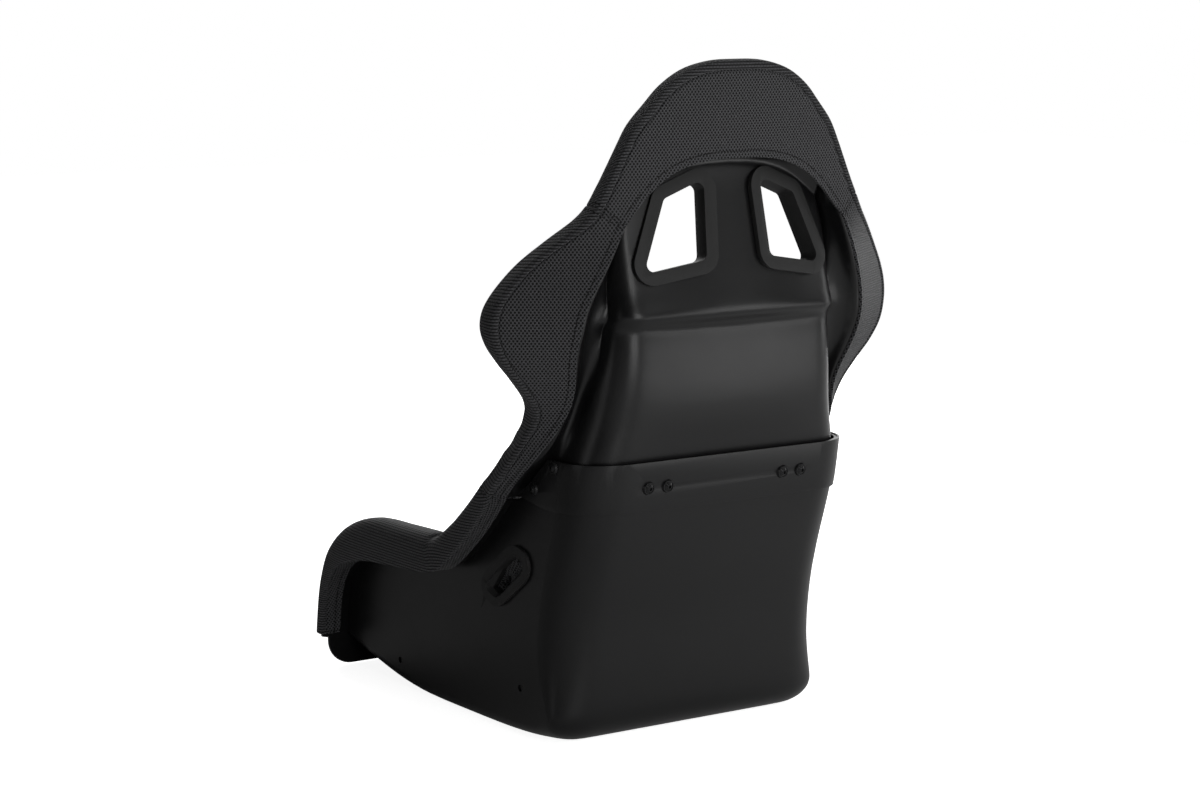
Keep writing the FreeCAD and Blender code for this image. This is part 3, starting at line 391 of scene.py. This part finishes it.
# Half of the strip in millimetres, from the foot of the thigh sleeve to the crown: hem, rim,
# padding, where the padding starts, width of the roll and rounding of its front
half_strip = [
    ((214, -284.3, 47.5), (237, -284.3, 47.5), 8, -16.5, 8, 9),
    ((214, -277, 94), (237, -277, 94), 9, -16.5, 8, 10),
    ((214, -265, 125), (237, -265, 125), 14, -16.5, 7, 12),
    ((214, -243, 150), (237, -243, 150), 26, -16.5, 5, 14),
    ((214, -208, 164.5), (237, -208, 164.5), 40, -16.5, 4, 15),
    ((214, -158, 174), (237, -158, 174), 47.5, -16.5, 4, 15),
    ((214, -86, 179.5), (237, -86, 179.5), 45, -16.5, 4, 15),
    ((214, -17, 184.5), (237, -17, 184.5), 42, -16.5, 4, 15),
    ((214, 17, 194), (237, 17, 194), 34, -16.5, 5, 14),
    ((214, 64, 228), (237, 64, 228), 28, -16.5, 7, 12),
    ((214, 97, 257), (237, 97, 257), 25, -16.5, 8, 10),
    ((214.5, 130, 290), (237, 128, 290), 20, -19, 9, 9),
    ((216.9, 143.5, 302.5), (237, 137.5, 303.5), 15, -19, 9.5, 8),
    ((218, 161.8, 319), (237, 152, 319), 11, -17, 10, 7.5),
    ((217.5, 188.5, 340), (235, 172, 340), 10.5, -13, 10, 7),
    ((215.7, 213.1, 360), (232, 190, 360), 12, -6, 10, 7),
    ((208.8, 230.2, 380), (228.4, 206.1, 380), 14.4, 2, 10, 7),
    ((201.4, 241.3, 400), (225, 219.4, 400), 13, 7.6, 10, 7),
    ((196.6, 251.8, 421), (230, 228, 421), 13, 9, 10, 7),
    ((198.2, 263.2, 445), (247.9, 231.5, 445), 17.3, 9.6, 10, 7),
    ((203.6, 273, 467), (267.1, 233.5, 467), 19.5, 10.1, 10, 7),
    ((207.4, 282, 490), (282.3, 233.7, 490), 21, 10.5, 10, 7),
    ((206.7, 290, 514), (289, 233, 514), 22, 10.8, 10, 7),
    ((202.8, 294.6, 538), (286.4, 235.7, 538), 22.5, 11, 10, 7),
    ((194.6, 300.1, 560), (274.3, 243, 562), 22.6, 11.2, 10, 7),
    ((185.9, 304.8, 580), (253.9, 255, 588), 22.4, 11.4, 10, 7),
    ((175.9, 308.2, 602), (227.1, 273.9, 614), 21.9, 11.6, 10, 7),
    ((167.5, 309.2, 620), (202.3, 290.6, 636), 20.4, 12.5, 10, 7),
    ((160, 308.8, 633.5), (188.5, 297.3, 654.5), 19.2, 14, 10.5, 7),
    ((150, 307.4, 645), (177, 299.3, 676), 19, 17, 11, 7),
    ((137, 307.4, 660), (166, 301.2, 698), 19, 18, 11, 7),
    ((122, 308.6, 674), (154, 303.2, 722), 19, 18, 11, 7),
    ((105, 309.9, 687), (141, 305.1, 745), 19, 18, 11, 7),
    ((87, 311.3, 696.5), (121, 307.7, 767.5), 19, 18, 11, 7),
    ((68, 312.7, 703), (100, 310, 789), 19, 18, 11, 7),
    ((50, 313.8, 706.5), (72, 312.4, 806.5), 19, 18, 11, 7),
    ((26, 314.7, 708.7), (37, 314.3, 815.5), 19, 18, 11, 7),
    ((0, 315, 709), (0, 315, 817), 19, 18, 11, 7),
]

# Stations of the sleeves' seams and of the crown; the other half is a mirror image
waist = 12
shoulder = 28
crown = len(half_strip) - 1
strip = [(Vector(hem), Vector(rim), *widths, index) for index, (hem, rim, *widths) in enumerate(half_strip)]
flip = Vector((-1, 1, 1))
strip += [(hem * flip, rim * flip, *widths, 2 * crown - index)
          for hem, rim, *widths, index in reversed(strip[:-1])]


def finer(places, step):
    """Places in between on a smooth curve through each item, about step millimetres apart."""
    result = []
    for i in range(len(places) - 1):
        near = [places[max(0, min(len(places) - 1, k))] for k in (i - 1, i, i + 1, i + 2)]
        parts = max(1, int(round((near[2][1] - near[1][1]).length / step)))
        for s in range(parts):
            t = s / parts
            weights = (-0.5 * t + t ** 2 - 0.5 * t ** 3, 1 - 2.5 * t ** 2 + 1.5 * t ** 3,
                       0.5 * t + 2 * t ** 2 - 1.5 * t ** 3, -0.5 * t ** 2 + 0.5 * t ** 3)
            item = []
            for k in range(len(near[0])):
                value = near[0][k] * weights[0]
                for weight, other in zip(weights[1:], near[1:]):
                    value = value + other[k] * weight
                item.append(value)
            result.append(tuple(item))
    result.append(places[-1])
    return result


def bend_corners(corners):
    """Closed outline with rounded corners, from each one's place, radius and parts of the side after it."""
    count = len(corners)
    bends = []
    for i in range(count):
        before, here, after = corners[i - 1][0], corners[i][0], corners[(i + 1) % count][0]
        radius = corners[i][1]
        back = min(radius, (before - here).length * 0.48)
        ahead = min(radius, (after - here).length * 0.48)
        start = here + (before - here).normalized() * back
        end = here + (after - here).normalized() * ahead
        bends.append([start * (1 - t) ** 2 + here * (2 * t * (1 - t)) + end * t ** 2
                      for t in (0, 0.25, 0.5, 0.75, 1)])
    points = []
    for i in range(count):
        points += [(point, i) for point in bends[i]]
        following = bends[(i + 1) % count][0]
        parts = corners[i][2]
        points += [(bends[i][-1].lerp(following, step / parts), i) for step in range(1, parts)]
    return points


# Rings of the strip, every 5 mm; wings and head are padded straight ahead, the thigh rolls
# square to the strip, with a smooth change between the two below the wings
ring_step = 5.0
wing_start = 421.0
change = 90.0
flange_front = 4.4
bare_front = 4.3
wrap = 6.0
places = finer(strip, ring_step)
rings = []
run = 0.0
for index, (hem, rim, pad, start, roll, rounding, number) in enumerate(places):
    before = places[max(index - 1, 0)]
    after = places[min(index + 1, len(places) - 1)]
    along = ((after[0] + after[1]) - (before[0] + before[1])).normalized()
    out = (rim - hem).normalized()
    back = along.cross(out).normalized()
    square = Vector((0.0, -along.z, along.y))
    if square.length > 1e-3:
        square.normalize()
    if square.dot(back) > 0:
        square.negate()
    share = max(0.0, min(1.0, (wing_start - hem.z) / change))
    wanted = square * share + Vector((0.0, -1.0, 0.0)) * (1.0 - share)
    tilt = max(0.0, min(0.9, out.dot(wanted) / max(0.2, -back.dot(wanted))))
    forward = out * tilt - back
    front = bare_front + pad
    inner = hem + out * start
    edge = rim + out * wrap
    bulge = min(2.0, 0.1 * pad)
    # hem, flat sheet, crease, roll round the edge to its front, and back inside the flange
    corners = [
        (hem - back * 0.2, 0.6, 1),
        (hem - out * 0.6 + back * 4.2, 1.4, 1),
        (hem + out * 3.6 + back * 3.6, 1.5, 5),
        (edge - out * (roll + 2.0) + back * 3.4, 1.2, 1),
        (edge - out * roll + back * 1.4, 0.8, 1),
        (edge - out * (roll - 1.6) + back * 4.6, 2.4, 1),
        (edge - out * 1.0 + back * 4.1, 4.0, 2),
        (edge + out * bulge + forward * (0.35 * front), 0.3 * front, 2),
        (edge + forward * (0.82 * front), rounding, 2),
        (edge.lerp(inner, 0.3) + forward * front, rounding, 2),
        (inner + out + forward * (0.93 * front), rounding, 4),
        (inner - back * flange_front, 1.0, 3),
        (rim + out * 1.6 - back * flange_front, 0.8, 1),
        (rim + out * 1.6 + back * 0.9, 0.8, 3),
        (hem + back * 0.9, 0.4, 1),
    ]
    points = bend_corners(corners)
    if index:
        run += (((hem + rim) - (before[0] + before[1])) * 0.5).length
    middle = sum((point for point, corner in points), Vector()) / len(points)
    arc = -wrap
    ring = []
    for k, (point, corner) in enumerate(points):
        arc += (point - points[k - 1][0]).length if k else 0.0
        sideways = (points[(k + 1) % len(points)][0] - points[k - 1][0]).cross(along).normalized()
        ring.append([point, sideways, arc, run, 1.0 if corner >= 5 else 0.0])
    if sum(item[1].dot(item[0] - middle) for item in ring) < 0:
        for item in ring:
            item[1] = -item[1]
    rings.append((number, hem, out, square, ring))


def hang_side(hem, out, square, arc):
    """Level rows on the side of a thigh roll, unrolled into the side plane."""
    return hem.y + square.y * arc, hem.z + square.z * arc


def hang_level(hem, out, square, arc):
    """Level rows on a wing, cut through by the hem."""
    return abs(hem.x) * 0.8 - hem.y * 0.6 + arc * math.hypot(out.x, out.y), hem.z + arc * out.z


def hang_straight(hem, out, square, arc):
    """Level rows on the flat back of the head."""
    return hem.x + arc * out.x, hem.z + arc * out.z


def between(first, second, share):
    """A ring between two others."""
    mixed = [[a + (b - a) * share for a, b in zip(one, two)] for one, two in zip(first[4], second[4])]
    return (first[0], *[a.lerp(b, share) for a, b in zip(first[1:4], second[1:4])], mixed)


frame_shift = 12.6
seam_pull = [1.5, 0.5, 0.1]


def sew_sleeve(name, first, last, hang, node):
    """One sleeve of the strip, between two seams that pull its ends in."""
    kept = [ring for ring in rings if first - 1e-6 <= ring[0] <= last + 1e-6]
    # how far along the strip its two seams are, from the first point of the end rings
    begin = kept[0][4][0][3]
    finish = kept[-1][4][0][3]
    head = [kept[0], between(kept[0], kept[1], 0.15), between(kept[0], kept[1], 0.5)]
    tail = [between(kept[-1], kept[-2], 0.5), between(kept[-1], kept[-2], 0.15), kept[-1]]
    kept = head + kept[1:-1] + tail
    form = bmesh.new()
    layers = [form.loops.layers.uv.new(layer) for layer in ("cloth", "seam", "edge")]
    pulls = seam_pull + [0.0] * (len(kept) - 2 * len(seam_pull)) + seam_pull[::-1]
    facts = {}
    edges = []
    slots = {}
    for (number, hem, out, square, ring), pull in zip(kept, pulls):
        if not edges:
            fresh = [form.verts.new((k, 0, 0)) for k in range(len(ring))]
            edges = [form.edges.new((fresh[k - 1], fresh[k])) for k in range(len(ring))]
            order = {vert: k for k, vert in enumerate(fresh)}
            ends = list(fresh)
        else:
            # extruded vertices start on the last ring's, which tells their place in the ring
            made = bmesh.ops.extrude_edge_only(form, edges=edges)["geom"]
            fresh = only(bmesh.types.BMVert, made)
            edges = only(bmesh.types.BMEdge, made)
            order = {vert: slots[vert.co.to_tuple(7)] for vert in fresh}
        slots = {}
        for vert, k in order.items():
            point, sideways, arc, run, roll = ring[k]
            spot = point - sideways * pull
            vert.co = (spot.x * 0.001, (spot.y - frame_shift) * 0.001, spot.z * 0.001)
            slots[vert.co.to_tuple(7)] = k
            facts[vert] = (hang(hem, out, square, arc), (arc, run), (min(run - begin, finish - run), roll))
    bmesh.ops.contextual_create(form, geom=ends)
    bmesh.ops.contextual_create(form, geom=list(order))
    bmesh.ops.recalc_face_normals(form, faces=form.faces)
    for face in form.faces:
        face.smooth = len(face.verts) == 4
        for loop in face.loops:
            for layer, spot in zip(layers, facts[loop.vert]):
                loop[layer].uv = spot
    bmesh.ops.triangulate(form, faces=[face for face in form.faces if len(face.verts) > 4])
    join_seat(new_object(form, name), spacer_mesh, node)


foot = 2 * crown
sew_sleeve("thigh_roll_left", 0, waist, hang_side, "thigh_cover_left")
sew_sleeve("wing_roll_left", waist, shoulder, hang_level, "wing_cover_left")
sew_sleeve("head_roll", shoulder, foot - shoulder, hang_straight, "head_cover")
sew_sleeve("wing_roll_right", foot - shoulder, foot - waist, hang_level, "wing_cover_right")
sew_sleeve("thigh_roll_right", foot - waist, foot, hang_side, "thigh_cover_right")

# Cushions and side pads: cut foam in loose covers of the same spacer mesh; the seat and the
# back have sewn channels with a stitch line on each side, and all lie loose in the shell
grid = 0.0055
pressure = 4.0
last_frame = 20
slit_half_length = 0.055
slit_half_height = 0.024
slit_share = 0.3
channel = 0.0045
shows_from = 0.35
shows_over = 0.4
no_hem = 900.0
no_seam = 90.0
between_stitches = 4.5


def stuff(node, name, smaller, reach, facing, lines, lower=0.0):
    """A padded piece: the solid a little smaller, blown up as cloth, with channels sewn on its face."""
    form = bmesh.new()
    form.from_mesh(nodes[node].data)
    bmesh.ops.remove_doubles(form, verts=form.verts, dist=same_place)
    form.normal_update()
    for vert in form.verts:
        vert.co -= vert.normal * smaller
        if lower:
            along, across = from_slot(vert.co.y, vert.co.z)
            if abs(along) < slit_half_length and abs(across) < slit_half_height:
                vert.co.y, vert.co.z = at_slot(along, across * slit_share)
            else:
                vert.co.z -= lower * max(0.0, vert.normal.z)
    pad = new_object(form, name)

    def settle():
        """Give the pad the mesh that its modifiers make, and take them off."""
        graph = bpy.context.evaluated_depsgraph_get()
        fresh = bpy.data.meshes.new_from_object(pad.evaluated_get(graph))
        pad.modifiers.clear()
        pad.data = fresh

    voxels = pad.modifiers.new("even", "REMESH")
    voxels.mode = "VOXEL"
    voxels.voxel_size = grid
    settle()
    rest = [vert.co.copy() for vert in pad.data.vertices]
    cloth = pad.modifiers.new("cloth", "CLOTH")
    cloth.settings.use_pressure = True
    cloth.settings.uniform_pressure_force = pressure
    cloth.settings.effector_weights.gravity = 0.0
    cloth.point_cache.frame_end = last_frame
    for step in range(1, last_frame + 1):
        scene.frame_set(step)
    settle()
    scene.frame_set(1)
    for vert, home in zip(pad.data.vertices, rest):
        moved = vert.co - home
        if moved.length > reach:
            vert.co = home + moved * (reach / moved.length)
    smooth = pad.modifiers.new("smooth", "SUBSURF")
    smooth.levels = smooth.render_levels = 1
    settle()
    form = bmesh.new()
    form.from_mesh(pad.data)
    form.normal_update()
    sunk = []
    for vert in form.verts:
        shown = max(0.0, min(1.0, (vert.normal.dot(facing) - shows_from) / shows_over))
        gap = min([abs(vert.co[axis] - at) for axis, at in lines] or [1.0])
        sunk.append(vert.normal * (channel * shown * math.exp(-(gap / channel) ** 2)))
    for vert, depth in zip(form.verts, sunk):
        vert.co -= depth
    layers = [form.loops.layers.uv.new(layer) for layer in ("cloth", "seam", "edge")]
    rise = 1 if facing.z > 0.5 else 2
    for face in form.faces:
        face.smooth = True
        across = max(range(3), key=lambda k: abs(face.normal[k]))
        first, second = [(1, 2), (0, 2), (0, 1)][across]
        sewn = face.normal.dot(facing) > shows_from
        for loop in face.loops:
            place = loop.vert.co * 1000.0
            gaps = [(abs(place[k] - at * 1000.0), place[0 if k else rise]) for k, at in lines if sewn]
            gap, along = min(gaps, default=(no_seam, 0.0))
            spots = ((place[first], place[second]), (along + no_hem, between_stitches), (gap, 0.0))
            for layer, spot in zip(layers, spots):
                loop[layer].uv = spot
    form.to_mesh(pad.data)
    form.free()
    join_seat(pad, spacer_mesh, node)


up = Vector((0.0, 0.0, 1.0))
ahead = Vector((0.0, -1.0, 0.0))
inward = Vector((-1.0, 0.0, 0.0))
stuff("seat_cushion", "seat_pad", 0.004, 0.008, up, [(0, -0.1), (0, 0.1), (1, -0.16), (1, -0.08), (1, 0.0)])
stuff("back_cushion", "back_pad", 0.004, 0.008, ahead, [(0, -0.1), (0, 0.1), (2, 0.3), (2, 0.38), (2, 0.46)])
stuff("head_cushion", "head_pad", 0.003, 0.006, ahead, [])
stuff("side_pad_left", "hip_pad_left", 0.002, 0.005, inward, [], 0.011)
stuff("side_pad_right", "hip_pad_right", 0.002, 0.005, -inward, [], 0.011)
